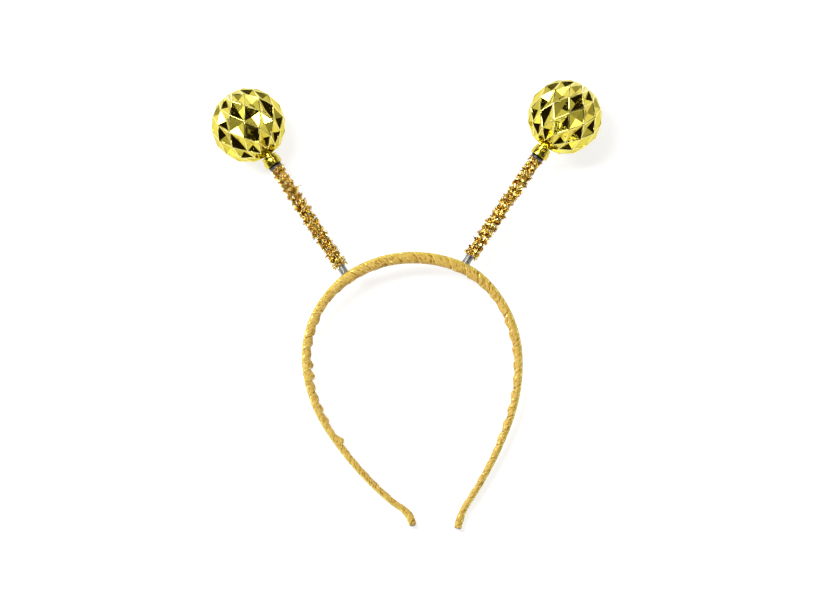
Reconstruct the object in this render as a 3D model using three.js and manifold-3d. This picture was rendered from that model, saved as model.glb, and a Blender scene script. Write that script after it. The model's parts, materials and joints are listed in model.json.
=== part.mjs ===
import * as THREE from "three";
import { mergeVertices } from "three/addons/utils/BufferGeometryUtils.js";
import Module from "manifold-3d";

// A head bopper that lies on its back: a ribbon-wound headband with two springs that carry faceted balls.
// Sizes are millimetres and angles degrees. +X runs across the head, +Y from the tips to the crown, +Z up.
// Every piece is first made flat, with the band's middle line in the XY plane, and settled at the end.

const wasm = await Module();
wasm.setup();
const { Manifold } = wasm;

// The gap between two pieces.
const fit = 0.3;

// The headband, measured along its middle line from the crown to each tip.
const leftLength = 196.5;
const rightLength = 184.5;
const bandThick = 5.9;
const bandDeep = 7.6;
const bandSquareness = 2.6;
const ribbonWall = 0.9;
const wrapPitch = 8;
const wrapStep = 0.45;
const coreProud = 0.6;

// The two antennas, measured along the axis of each.
const antennaLength = 95.5;
const bareLength = 4.8;
const springRadius = 2.1;
const springWire = 0.7;
const springGroove = 0.2;
const mouthRadius = 3.6;
const mouthShown = 1.8;
const mouthTurns = 4;
const tinselRadius = 3.5;
const tinselValley = 2.75;
const tinselPitch = 4.2;
const flangeRadius = 4.9;
const flangeHeight = 3.7;
const grooveRadius = 4;
const grooveHeight = 0.4;
const tierRadius = 4.4;
const tierHeight = 1.5;
const stemRadius = 2.7;
const stemHeight = 3;
const boreDepth = 2.4;

// The hollow balls: rows of rhombic facets, each sunk to a point.
const ballRadius = 20;
const ballShell = 1.2;
const facetSink = 1.1;
const facetsRound = 12;
const facetRowAngle = 21.2;
const facetRows = 3;

// Bends of each half of the band from the crown to its tip: a share of its length and the turn over it.
const leftBends = [
  { share: 0.12, turn: 22 },
  { share: 0.14, turn: 28 },
  { share: 0.2, turn: 44 },
  { share: 0.18, turn: 28 },
  { share: 0.26, turn: 17 },
  { share: 0.04, turn: 10 },
  { share: 0.06, turn: -50 },
];
const rightBends = [
  { share: 0.12, turn: 19 },
  { share: 0.14, turn: 32 },
  { share: 0.2, turn: 35 },
  { share: 0.2, turn: 24 },
  { share: 0.26, turn: 14 },
  { share: 0.08, turn: -25 },
];

// Sections of the band: where, as a share of the half, and shares of its thickness and depth at the crown.
const bandSections = [
  { at: 0, thick: 1, deep: 1 },
  { at: 0.18, thick: 0.96, deep: 1 },
  { at: 0.27, thick: 0.78, deep: 0.96 },
  { at: 0.42, thick: 0.74, deep: 0.9 },
  { at: 0.6, thick: 0.64, deep: 0.82 },
  { at: 0.8, thick: 0.6, deep: 0.78 },
  { at: 0.93, thick: 0.62, deep: 0.78 },
  { at: 0.975, thick: 0.7, deep: 0.78 },
  { at: 1, thick: 0.6, deep: 0.72 },
];

// Turns of ribbon that stand loose on the inner edge: where, as a share of the half, and how far they stand
// out, as a share of the band's thickness.
const looseTurns = [
  { half: "left", at: 0.39, lift: 0.2 },
  { half: "left", at: 0.43, lift: 0.3 },
  { half: "left", at: 0.47, lift: 0.18 },
  { half: "left", at: 0.51, lift: 0.34 },
  { half: "left", at: 0.55, lift: 0.26 },
  { half: "left", at: 0.59, lift: 0.3 },
  { half: "left", at: 0.72, lift: 0.36 },
  { half: "right", at: 0.44, lift: 0.18 },
  { half: "right", at: 0.49, lift: 0.16 },
];

// Each antenna: where it stands, as a share of its half of the band, how far it leans out from the upright,
// and how far its ball is turned on its neck.
const antennas = [
  { half: "left", at: 0.188, lean: 33, ballTurn: 24.5 },
  { half: "right", at: 0.147, lean: 34, ballTurn: 6.2 },
];

// How fine the meshes are.
const bandColumns = 12;
const stripColumns = 8;
const stripSteps = 60;
const turnedColumns = 12;
const collarColumns = 16;
const tinselPoints = 10;

const halves = {
  left: { side: -1, length: leftLength, bends: leftBends },
  right: { side: 1, length: rightLength, bends: rightBends },
};
const bandLength = leftLength + rightLength;
const radians = THREE.MathUtils.degToRad;

// Solids for joining and cutting

function solidOf(geometry, matrix = new THREE.Matrix4()) {
  const bare = geometry.clone().applyMatrix4(matrix);
  bare.deleteAttribute("normal");
  bare.deleteAttribute("uv");
  const merged = mergeVertices(bare);
  return new Manifold(new wasm.Mesh({
    numProp: 3,
    vertProperties: new Float32Array(merged.attributes.position.array),
    triVerts: new Uint32Array(merged.index.array),
  }));
}

function geometryOf(solid) {
  const mesh = solid.getMesh();
  const geometry = new THREE.BufferGeometry();
  geometry.setAttribute("position", new THREE.BufferAttribute(mesh.vertProperties, 3));
  geometry.setIndex(new THREE.BufferAttribute(mesh.triVerts, 1));
  geometry.computeVertexNormals();
  return geometry;
}

function namedMesh(name, geometry, finish) {
  const mesh = new THREE.Mesh(geometry, new THREE.MeshStandardMaterial(finish));
  mesh.name = name;
  return mesh;
}

// The band's middle line and sections

// The point at a distance from the crown, to the right where it is above zero, and the heading there, in
// radians below the horizontal and signed in the same way.
function bandPlace(distance) {
  const half = distance < 0 ? halves.left : halves.right;
  const place = { x: 0, y: 0, heading: 0 };
  let rest = Math.abs(distance);
  half.bends.forEach(({ share, turn }, index) => {
    const whole = share * half.length;
    const isLast = index === half.bends.length - 1;
    const arc = isLast ? rest : Math.min(rest, whole);
    const bend = (radians(turn) * arc) / whole;
    const chord = bend === 0 ? arc : (arc * Math.sin(bend / 2)) / (bend / 2);
    place.x += half.side * chord * Math.cos(place.heading + bend / 2);
    place.y -= chord * Math.sin(place.heading + bend / 2);
    place.heading += bend;
    rest -= arc;
  });
  place.heading *= half.side;
  return place;
}

// Half the band's thickness and depth at a distance from the crown.
function bandSection(distance) {
  const half = distance < 0 ? halves.left : halves.right;
  const share = Math.min(Math.abs(distance) / half.length, 1);
  const next = Math.max(1, bandSections.findIndex(({ at }) => at >= share));
  const [low, high] = [bandSections[next - 1], bandSections[next]];
  const mix = (share - low.at) / (high.at - low.at);
  return {
    thick: (THREE.MathUtils.lerp(low.thick, high.thick, mix) * bandThick) / 2,
    deep: (THREE.MathUtils.lerp(low.deep, high.deep, mix) * bandDeep) / 2,
  };
}

// How far a squarish oval reaches from its middle at an angle, where angle 0 points away from the head.
function ovalReach(angle, thick, deep) {
  const out = Math.abs(Math.cos(angle)) / thick;
  const front = Math.abs(Math.sin(angle)) / deep;
  return (out ** bandSquareness + front ** bandSquareness) ** (-1 / bandSquareness);
}

// A straight rod of unit radius, bent along the band. For each ring and angle, distance says how far from
// the crown a vertex comes, and reach how far from the middle line.
function bentRod(columns, steps, distance, reach) {
  const round = new THREE.Shape();
  for (let column = 0; column < columns; column++) {
    const angle = (2 * Math.PI * column) / columns;
    const draw = column === 0 ? "moveTo" : "lineTo";
    round[draw](Math.cos(angle), Math.sin(angle));
  }
  const geometry = new THREE.ExtrudeGeometry(round, { depth: 1, steps, bevelEnabled: false });
  const position = geometry.attributes.position;
  for (let vertex = 0; vertex < position.count; vertex++) {
    const angle = Math.atan2(position.getY(vertex), position.getX(vertex));
    const ring = Math.round(position.getZ(vertex) * steps);
    const along = distance(ring, angle);
    const out = reach(ring, angle, along);
    const { x, y, heading } = bandPlace(along);
    position.setXYZ(
      vertex,
      x + out * Math.cos(angle) * Math.sin(heading),
      y + out * Math.cos(angle) * Math.cos(heading),
      out * Math.sin(angle),
    );
  }
  return geometry;
}

// The strip inside the ribbon, inset from the band's outline and run on past both of its ends by one ring.
function stripGeometry(inset, proud) {
  const distance = (ring) => {
    if (ring === 0) return -leftLength - proud;
    if (ring === stripSteps) return rightLength + proud;
    return ((ring - 1) / (stripSteps - 2)) * bandLength - leftLength;
  };
  const reach = (ring, angle, along) => {
    const { thick, deep } = bandSection(along);
    return ovalReach(angle, thick - inset, deep - inset);
  };
  return bentRod(stripColumns, stripSteps, distance, reach);
}

// The ribbon's outside: each turn starts on top of the one before it and slants across the band.
function woundGeometry() {
  const wraps = Math.round(bandLength / wrapPitch);
  const pitch = bandLength / wraps;
  const overlapShare = 0.12;
  const slantShare = 0.25;
  const loose = looseTurns.map(({ half, at, lift }) => {
    const { side, length } = halves[half];
    return { turn: Math.floor((leftLength + side * at * length) / pitch), lift: lift * bandThick };
  });
  const distance = (ring, angle) => {
    const turn = Math.floor(ring / 2) + (ring % 2) * overlapShare;
    const toEnd = Math.min(turn, wraps - turn);
    const slant = slantShare * Math.cos(angle) * Math.min(1, toEnd);
    return (turn - slant) * pitch - leftLength;
  };
  const reach = (ring, angle, along) => {
    const { thick, deep } = bandSection(along);
    const inward = Math.max(0, -Math.cos(angle));
    const fold = loose.find(({ turn }) => turn === Math.floor(ring / 2));
    const step = ring % 2 ? wrapStep : 0;
    const stand = fold && ring % 2 ? fold.lift * inward ** 2 : 0;
    return ovalReach(angle, thick, deep) + step + stand;
  };
  return bentRod(bandColumns, 2 * wraps, distance, reach);
}

// Heights along an antenna, from the band's middle line, and the place of its foot
function antennaPlan({ half, at, lean }) {
  const { side, length } = halves[half];
  const distance = side * at * length;
  const foot = bandPlace(distance);
  const { thick } = bandSection(distance);
  const offNormal = Math.abs(side * radians(lean) - foot.heading);
  const core = thick - ribbonWall - fit;
  const ball = thick + antennaLength;
  const collar = ball - ballRadius - fit - tierHeight - grooveHeight - flangeHeight;
  const mouth = collar - mouthShown;
  return {
    matrix: new THREE.Matrix4().makeRotationZ(-side * radians(lean)).setPosition(foot.x, foot.y, 0),
    springFoot: (core + fit) / Math.cos(offNormal) + springRadius * Math.tan(offNormal),
    bareTop: thick + bareLength,
    mouth,
    mouthTop: collar + boreDepth - fit,
    collar,
    ball,
  };
}

// A ring turned about the Y axis from [radius, height] points that go up the outside and down the inside
function turned(points, columns) {
  const profile = points.map(([radius, height]) => new THREE.Vector2(radius, height));
  return new THREE.LatheGeometry(profile, columns);
}

// Close-wound turns of wire from one height up to another, as ridges of a profile
function windings(radius, low, high, turns) {
  const points = [];
  for (let turn = 0; turn < turns; turn++) {
    const start = low + ((high - low) * turn) / turns;
    const middle = low + ((high - low) * (turn + 0.5)) / turns;
    points.push([radius - springGroove, start], [radius, middle]);
  }
  points.push([radius - springGroove, high]);
  return points;
}

function springGeometry({ springFoot, bareTop, mouth, mouthTop }) {
  const bore = springRadius - springWire;
  const bareTurns = Math.round((bareTop - springFoot) / springWire);
  const profile = [
    [bore, springFoot],
    ...windings(springRadius, springFoot, bareTop, bareTurns),
    [springRadius, mouth],
    ...windings(mouthRadius, mouth, mouthTop, mouthTurns),
    [mouthRadius - springWire, mouthTop],
    [mouthRadius - springWire, mouth + springWire],
    [bore, mouth + springWire],
    [bore, springFoot],
  ];
  return turned(profile, turnedColumns);
}

// The garland: foil points on a wound sleeve. Every second column of a turn's crest stands out as a point.
function tinselGeometry({ bareTop, mouth }) {
  const low = bareTop + fit;
  const high = mouth - fit;
  const turns = Math.round((high - low) / tinselPitch);
  const pitch = (high - low) / turns;
  const bore = springRadius + fit;
  const profile = [[bore, low]];
  for (let turn = 0; turn < turns; turn++) {
    profile.push([tinselValley, low + turn * pitch], [tinselRadius, low + (turn + 0.5) * pitch]);
  }
  profile.push([tinselValley, high], [bore, high], [bore, low]);
  const geometry = turned(profile, 2 * tinselPoints);
  const position = geometry.attributes.position;
  const pointReach = 0.12;
  const slantShare = 0.4;
  for (let vertex = 0; vertex < position.count; vertex++) {
    const [x, y, z] = [position.getX(vertex), position.getY(vertex), position.getZ(vertex)];
    const radius = Math.hypot(x, z);
    if (y < low + pitch / 4 || y > high - pitch / 4 || radius < (bore + tinselValley) / 2) continue;
    const angle = Math.atan2(x, z);
    const column = Math.round((angle / Math.PI) * tinselPoints);
    const isCrest = radius > (tinselValley + tinselRadius) / 2;
    const turn = Math.floor((y - low) / pitch);
    const stretch = isCrest ? 1 + ((column + turn) % 2 ? -pointReach : pointReach) : 1;
    position.setXYZ(vertex, x * stretch, y + slantShare * pitch * Math.sin(angle), z * stretch);
  }
  return geometry;
}

// The collar: a stem in the ball's neck, an upper tier, a groove, and a flange bored for the spring's mouth
function collarGeometry({ collar, ball }) {
  const pole = ball - ballRadius - fit;
  const bore = mouthRadius + fit;
  const tier = collar + flangeHeight + grooveHeight;
  const dish = poleSlope();
  const profile = [
    [0, collar + boreDepth],
    [bore, collar + boreDepth],
    [bore, collar],
    [flangeRadius - fit, collar],
    [flangeRadius, collar + fit],
    [flangeRadius, collar + flangeHeight - fit],
    [flangeRadius - fit, collar + flangeHeight],
    [grooveRadius, collar + flangeHeight],
    [grooveRadius, tier],
    [tierRadius, tier],
    [tierRadius, pole + dish * tierRadius],
    [stemRadius, pole + dish * stemRadius],
    [stemRadius, pole + stemHeight],
    [0, pole + stemHeight],
  ];
  return turned(profile, collarColumns);
}

// How fast the ball's end rises away from its pole, per unit of radius.
function poleSlope() {
  const last = radians(facetRows * facetRowAngle);
  return (1 - Math.sin(last)) / Math.cos(last);
}

// Rows of ridge points and sunken points in turn, closed by a point at each pole. Each four-sided cell is
// split between its two ridge points, so that four cells make one rhombus.
function facetedBall() {
  const around = 2 * facetsRound;
  const positions = [0, -ballRadius, 0];
  const rows = 2 * facetRows + 1;
  for (let row = 0; row < rows; row++) {
    const latitude = radians((row - facetRows) * facetRowAngle);
    for (let column = 0; column < around; column++) {
      const longitude = (Math.PI * column) / facetsRound;
      const isRidge = isRidgePoint(row, column);
      const sunk = ballRadius * Math.cos(radians(facetRowAngle)) - facetSink * Math.cos(latitude);
      const radius = isRidge ? ballRadius : sunk;
      positions.push(
        radius * Math.cos(latitude) * Math.sin(longitude),
        radius * Math.sin(latitude),
        radius * Math.cos(latitude) * Math.cos(longitude),
      );
    }
  }
  const top = positions.length / 3;
  positions.push(0, ballRadius, 0);
  const point = (row, column) => 1 + row * around + (column % around);
  const index = [];
  for (let column = 0; column < around; column++) {
    index.push(0, point(0, column + 1), point(0, column));
    index.push(top, point(rows - 1, column), point(rows - 1, column + 1));
    for (let row = 0; row < rows - 1; row++) {
      const [a, b] = [point(row, column), point(row, column + 1)];
      const [c, d] = [point(row + 1, column + 1), point(row + 1, column)];
      const cell = isRidgePoint(row, column) ? [a, b, c, a, c, d] : [a, b, d, b, c, d];
      index.push(...cell);
    }
  }
  const geometry = new THREE.BufferGeometry();
  geometry.setAttribute("position", new THREE.Float32BufferAttribute(positions, 3));
  geometry.setIndex(index);
  return geometry;
}

// The middle row has ridge points in its even columns, and the rows beside it in their odd ones.
function isRidgePoint(row, column) {
  return (row - facetRows + column) % 2 === 0;
}

function ballGeometry(ballTurn, { ball }) {
  const faceted = facetedBall();
  const turn = new THREE.Matrix4().makeRotationY(radians(ballTurn));
  const inner = turn.clone().scale(new THREE.Vector3().setScalar((ballRadius - ballShell) / ballRadius));
  const neck = new THREE.CylinderGeometry(stemRadius + fit, stemRadius + fit, ballRadius, turnedColumns);
  const down = new THREE.Matrix4().makeTranslation(0, -ballRadius, 0);
  const shell = solidOf(faceted, turn).subtract(solidOf(faceted, inner)).subtract(solidOf(neck, down));
  return geometryOf(shell).translate(0, ball, 0);
}

// The ribbon's wall, with a hole for the foot of each spring
function ribbonGeometry() {
  const boreOverrun = 2;
  let wall = solidOf(woundGeometry()).subtract(solidOf(stripGeometry(ribbonWall, boreOverrun)));
  for (const antenna of antennas) {
    const { matrix, bareTop } = antennaPlan(antenna);
    const hole = new THREE.CylinderGeometry(springRadius + fit, springRadius + fit, bareTop, turnedColumns);
    hole.translate(0, bareTop / 2, 0);
    wall = wall.subtract(solidOf(hole, matrix));
  }
  return geometryOf(wall);
}

const gold = { color: 0xd8c832, metalness: 1, roughness: 0.12, flatShading: true };
const foil = { color: 0xb87a14, metalness: 0.9, roughness: 0.3, flatShading: true };
const steel = { color: 0xb4b6b8, metalness: 1, roughness: 0.3 };
const glitterRibbon = { color: 0xcda53c, metalness: 0.4, roughness: 0.6 };
const greyPlastic = { color: 0x8c8c88, metalness: 0, roughness: 0.5 };

const flat = new THREE.Group();
flat.add(namedMesh("band_core", stripGeometry(ribbonWall + fit, coreProud), greyPlastic));
flat.add(namedMesh("ribbon_wrap", ribbonGeometry(), glitterRibbon));
for (const antenna of antennas) {
  const plan = antennaPlan(antenna);
  const stalk = new THREE.Group();
  stalk.applyMatrix4(plan.matrix);
  stalk.add(namedMesh(`spring_${antenna.half}`, springGeometry(plan), steel));
  stalk.add(namedMesh(`tinsel_${antenna.half}`, tinselGeometry(plan), foil));
  stalk.add(namedMesh(`collar_${antenna.half}`, collarGeometry(plan), gold));
  stalk.add(namedMesh(`ball_${antenna.half}`, ballGeometry(antenna.ballTurn, plan), gold));
  flat.add(stalk);
}

// Lying down: the balls hold up one end and the tips touch at the other. The origin is under the middle.
const ballHeight = antennas.reduce((sum, antenna) => {
  const { matrix, ball } = antennaPlan(antenna);
  return sum + new THREE.Vector3(0, ball, 0).applyMatrix4(matrix).y / antennas.length;
}, 0);
const tipHeight = (bandPlace(-leftLength).y + bandPlace(rightLength).y) / 2;
const tipDeep = bandSection(rightLength).deep;
flat.rotation.x = Math.atan2(ballRadius - tipDeep, ballHeight - tipHeight);
const headBopper = new THREE.Group();
headBopper.add(flat);
headBopper.updateMatrixWorld(true);
const box = new THREE.Box3().setFromObject(headBopper, true);
const middle = box.getCenter(new THREE.Vector3());
flat.position.set(-middle.x, -middle.y, -box.min.z);

export default headBopper;
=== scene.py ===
"""Dresses the head bopper: its wound ribbon, coil springs, foil garlands, collars and mirrored balls."""

import json
import math
import random
from collections import namedtuple
from math import cos, pi, radians, sin

import bmesh
import bpy
import numpy as np
from bpy.props import FloatProperty, FloatVectorProperty, IntProperty, PointerProperty
from mathutils import Matrix, Vector, noise


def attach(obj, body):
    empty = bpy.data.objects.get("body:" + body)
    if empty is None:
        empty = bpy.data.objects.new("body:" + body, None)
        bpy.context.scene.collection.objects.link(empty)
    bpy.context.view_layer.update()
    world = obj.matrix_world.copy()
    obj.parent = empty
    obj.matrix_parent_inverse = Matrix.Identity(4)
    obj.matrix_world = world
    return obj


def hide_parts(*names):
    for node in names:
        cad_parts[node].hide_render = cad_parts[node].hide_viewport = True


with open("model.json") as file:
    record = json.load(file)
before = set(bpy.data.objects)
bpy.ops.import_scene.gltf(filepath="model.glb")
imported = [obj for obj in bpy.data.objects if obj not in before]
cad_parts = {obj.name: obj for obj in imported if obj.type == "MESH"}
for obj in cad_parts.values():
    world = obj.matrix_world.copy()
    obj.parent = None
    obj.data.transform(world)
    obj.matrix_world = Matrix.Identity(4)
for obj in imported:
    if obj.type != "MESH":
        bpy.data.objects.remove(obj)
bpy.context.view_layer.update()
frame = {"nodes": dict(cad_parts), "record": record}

bl_info = {
    "name": "Head bopper",
    "version": (1, 0, 0),
    "blender": (4, 5, 0),
    "location": "3D View > Sidebar > Bopper",
    "description": "Winds, coils and polishes the pieces of a head bopper",
    "category": "Mesh",
}

BODY = "root"
MM = 0.001
SAME_PLACE = 0.001 * MM
UP = Vector((0, 0, 1))
SIDES = ("left", "right")

# The headband is worked out flat, its crown at the origin, +Y away from the head and +Z to the front.
Bend = namedtuple("Bend", "share turn")
Half = namedtuple("Half", "side length bends")
HALVES = {
    "left": Half(-1, 196.5 * MM, (
        Bend(0.12, 22), Bend(0.14, 28), Bend(0.2, 44), Bend(0.18, 28), Bend(0.26, 17), Bend(0.04, 10),
        Bend(0.06, -50),
    )),
    "right": Half(1, 184.5 * MM, (
        Bend(0.12, 19), Bend(0.14, 32), Bend(0.2, 35), Bend(0.2, 24), Bend(0.26, 14), Bend(0.08, -25),
    )),
}

# Across the band, the left tip lies on one side of this place and the right tip on the other.
TIPS_PART_AT = 10 * MM

# Sections of the band: where, as a share of the half, and the shares of the crown's thickness and depth.
Section = namedtuple("Section", "at thick deep")
SECTIONS = (
    Section(0, 1, 1), Section(0.18, 0.96, 1), Section(0.27, 0.78, 0.96), Section(0.42, 0.74, 0.9),
    Section(0.6, 0.62, 0.82), Section(0.8, 0.55, 0.78), Section(0.93, 0.52, 0.78),
    Section(0.95, 0.55, 0.78), Section(0.975, 0.68, 0.78), Section(1, 0.6, 0.72),
)

# Stretches whose turns of ribbon stand loose on the inner edge: from where to where, as shares of the
# half, and how far the turns stand out, as a share of the band's thickness.
LooseTurns = namedtuple("LooseTurns", "half start end lift")
LOOSE_TURNS = (
    LooseTurns("left", 0.1, 0.34, 0.05), LooseTurns("left", 0.34, 0.47, 0.15),
    LooseTurns("left", 0.47, 0.53, 0.24), LooseTurns("left", 0.53, 0.66, 0.15),
    LooseTurns("left", 0.7, 0.735, 0.3), LooseTurns("left", 0.735, 0.93, 0.04),
    LooseTurns("right", 0.08, 0.3, 0.07), LooseTurns("right", 0.3, 0.7, 0.13),
    LooseTurns("right", 0.7, 0.95, 0.06),
)

# Longer strands that stand off a garland: where, as a share of its height, the degrees round the spring
# from its left side as seen from the front, and how far each reaches, in strip lengths.
Stray = namedtuple("Stray", "side at turn reach")
STRAYS = (
    Stray("left", 0.775, 180, 2.9), Stray("left", 0.77, 172, 2.3), Stray("left", 0.78, 190, 1.9),
    Stray("left", 0.62, 4, 1.25), Stray("left", 0.75, -8, 1.2), Stray("right", 0.44, 12, 1.3),
    Stray("right", 0.7, 170, 1.25),
)

# Soft boxes overhead, as they stand round the camera's line of sight: degrees to the right and up from
# it, the degrees that each spans across and up, and how bright its face is.
SoftBox = namedtuple("SoftBox", "right up width height glow")
SOFT_BOXES = (
    SoftBox(-33, 25, 44, 15, 14),
    SoftBox(0, 46, 30, 10, 3.6),
    SoftBox(17, 27, 10, 9, 2.8),
    SoftBox(29, -28, 8, 8, 14),
    SoftBox(5, -3, 32, 20, 0.3),
    SoftBox(38, 21, 26, 10, 0.34),
    SoftBox(66, -8, 24, 14, 0.42),
    SoftBox(-68, 2, 22, 22, 0.45),
    SoftBox(14, -23, 9, 7, 2),
    SoftBox(-58, -52, 26, 14, 1),
    SoftBox(54, -52, 24, 10, 0.6),
    SoftBox(54, 50, 14, 13, 0.9),
    SoftBox(17, -62, 15, 8, 0.9),
    SoftBox(-34, -68, 24, 8, 0.6),
    SoftBox(-33, 62, 18, 8, 0.7),
    SoftBox(-78, 34, 12, 9, 1),
    SoftBox(30, 62, 16, 8, 0.5),
)


# Sizes and colours


def length(name, description, millimetres):
    """A length that the user can set, given in millimetres."""
    return FloatProperty(
        name=name, description=description, default=millimetres * MM, min=0, precision=5, unit="LENGTH"
    )


def colour(name, description, default):
    """A colour that the user can set."""
    return FloatVectorProperty(
        name=name, description=description, default=default, size=3, min=0, max=1, subtype="COLOR"
    )


class BopperBand(bpy.types.PropertyGroup):
    """The band inside the ribbon."""

    thick: length("Thickness", "Thickness of the wound band at its crown", 5.9)
    deep: length("Depth", "Front to back depth of the wound band at its crown", 7.6)
    squareness: FloatProperty(
        name="Squareness", description="2 makes the section an oval, more makes it squarer", default=2.6
    )
    inset: length("Inset", "How far the strip lies inside the ribbon's face", 0.34)
    proud: length("Proud", "How far the strip stands out of the ribbon at each tip", 0.6)
    plastic: colour("Plastic", "Colour of the strip", (0.46, 0.42, 0.33))


class BopperRibbon(bpy.types.PropertyGroup):
    """The glitter ribbon."""

    pitch: length("Pitch", "Advance along the band in each turn at its crown", 9.2)
    width: length("Width", "Width of the ribbon", 10.5)
    cut: length("Length", "Length of the ribbon before it is wound", 944)
    thickness: length("Thickness", "Thickness of the ribbon", 0.14)
    lap: length("Lap", "How far a turn's edge stands on the turn before it", 0.17)
    weave: length("Weave", "Distance from one thread to the next", 0.48)
    crowding: FloatProperty(
        name="Crowding", description="How much closer the turns lie at the left temple", default=0.22
    )
    slant: FloatProperty(
        name="Slant", description="How much more a turn advances on the faces than on the sides",
        default=0.085,
    )
    # Rose and tan are lit and shaded copies of one ground: painted light gives the side away from the head
    # the tan, and the side towards the head the rose.
    rose: colour("Rose", "Colour of the ground on the side towards the head", (0.66, 0.43, 0.085))
    tan: colour("Tan", "Colour of the woven ground", (0.6, 0.43, 0.05))
    lurex: colour("Lurex", "Colour of the metallic yarn", (1.0, 0.81, 0.25))
    # The dark colour of the gaps between the threads, also used for the painted shade under each turn's edge
    # and along the crease.
    shade: colour("Shade", "Colour of the gaps between the threads", (0.28, 0.14, 0.006))


class BopperSpring(bpy.types.PropertyGroup):
    """The two coil springs."""

    radius: length("Radius", "Outer radius of the coil", 2.3)
    wire: length("Wire", "Diameter of the wire", 0.7)
    mouth_radius: length("Mouth radius", "Outer radius of the widened turns under the collar", 3.6)
    mouth_shown: length("Mouth shown", "Height of the widened turns below the collar", 2.35)
    steel: colour("Steel", "Colour of the wire", (0.45, 0.46, 0.47))
    # Painted shade: the colour that the turns at the mouth are darkened towards, as shade under the collar.
    grime: colour("Grime", "Colour of the dirty turns under the collar", (0.03, 0.018, 0.012))


class BopperGarland(bpy.types.PropertyGroup):
    """The foil garlands wound on the springs."""

    pitch: length("Pitch", "Advance along the spring in each turn", 4.2)
    thread_radius: length("Thread radius", "Distance from the spring's axis to the thread", 2.55)
    thread: length("Thread", "Diameter of the thread", 0.4)
    strip_length: length("Strip length", "Length of a foil strip", 1.6)
    strip_width: length("Strip width", "Width of a foil strip", 0.42)
    strip_thickness: length("Strip thickness", "Thickness of a foil strip", 0.06)
    spread: FloatProperty(
        name="Spread", description="How far strips fan out from straight outwards", default=radians(70),
        subtype="ANGLE",
    )
    tufts: IntProperty(name="Tufts", description="Tufts of foil in each turn", default=60)
    strips: IntProperty(name="Strips", description="Strips in each tuft", default=9)
    roots: IntProperty(name="Roots", description="Strips that lie on the spring by each tuft", default=8)
    stray: FloatProperty(
        name="Stray", description="How far tufts stray from the thread, in turns", default=0.15
    )
    seed: IntProperty(name="Seed", description="Seed of the strips' random lie", default=7)
    dark: colour("Dark foil", "Colour of the darkest foil", (0.34, 0.15, 0.006))
    amber: colour("Amber foil", "Colour of most of the foil", (1.0, 0.73, 0.18))
    yellow: colour("Yellow foil", "Colour of light foil", (1.0, 0.88, 0.38))
    pale: colour("Pale foil", "Colour of the lightest foil", (1.0, 0.91, 0.56))


class BopperCollar(bpy.types.PropertyGroup):
    """The collars under the balls."""

    flange_radius: length("Flange radius", "Radius of the wide lower ring", 4.9)
    flange_height: length("Flange height", "Height of the wide lower ring", 3.7)
    groove_radius: length("Groove radius", "Radius of the groove", 4)
    groove_height: length("Groove height", "Height of the groove", 0.4)
    tier_radius: length("Tier radius", "Radius of the upper ring", 4.4)
    tier_height: length("Tier height", "Height of the upper ring", 1.5)
    stem_radius: length("Stem radius", "Radius of the stem in the ball's neck", 2.7)
    bore_radius: length("Bore radius", "Radius of the bore for the spring's mouth", 3.9)
    bore_depth: length("Bore depth", "Depth of the bore for the spring's mouth", 2.4)
    rounding: length("Rounding", "Rounding of the rings' edges", 0.28)
    gold: colour("Gold", "Colour of the mirror finish", (0.66, 0.55, 0.045))


class BopperBall(bpy.types.PropertyGroup):
    """The faceted balls."""

    radius: length("Radius", "Radius over the ridges", 20)
    ridge: length("Ridge", "Half the width of the bead along each ridge", 0.48)
    bead: length("Bead", "How far each bead stands out", 0.32)
    gold: colour("Gold", "Colour of the mirror finish", (0.68, 0.58, 0.048))
    # Painted highlight: the pale colour laid on the crest of every bead on the balls.
    worn: colour("Worn", "Colour of the finish where the ridges are rubbed pale", (0.86, 0.77, 0.2))


class BopperStage(bpy.types.PropertyGroup):
    """The floor, the lights and the camera."""

    floor: colour("Floor", "Colour of the floor", (0.4, 0.4, 0.4))
    floor_glow: FloatProperty(
        name="Floor glow", description="How much the floor shines, as a light table does", default=0.75
    )
    floor_size: length("Floor size", "Side of the floor", 12000)
    light_distance: length("Light distance", "Distance of the soft boxes", 1500)
    tilt: FloatProperty(
        name="Tilt", description="How far the camera leans to the tips' side", default=radians(7),
        subtype="ANGLE",
    )
    frame_width: length("Frame width", "Width of the picture at the band", 433.5)
    lens: FloatProperty(name="Lens", description="Focal length", default=200, unit="CAMERA")


class BopperSettings(bpy.types.PropertyGroup):
    """Everything that can be set."""

    band: PointerProperty(type=BopperBand)
    ribbon: PointerProperty(type=BopperRibbon)
    spring: PointerProperty(type=BopperSpring)
    garland: PointerProperty(type=BopperGarland)
    collar: PointerProperty(type=BopperCollar)
    ball: PointerProperty(type=BopperBall)
    stage: PointerProperty(type=BopperStage)


# Materials


class Signal:
    """An output of a node. Sums with it add Math nodes, so that shader maths reads as maths."""

    def __init__(self, finish, socket):
        self.finish = finish
        self.socket = socket

    def math(self, operation, *terms):
        return self.finish.node("ShaderNodeMath", {"operation": operation}, dict(enumerate(terms)))

    def __add__(self, other):
        return self.math("ADD", self, other)

    def __sub__(self, other):
        return self.math("SUBTRACT", self, other)

    def __rsub__(self, other):
        return self.math("SUBTRACT", other, self)

    def __mul__(self, other):
        return self.math("MULTIPLY", self, other)

    def __abs__(self):
        return self.math("ABSOLUTE", self)

    def sine(self):
        return self.math("SINE", self)

    __radd__ = __add__
    __rmul__ = __mul__


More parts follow.
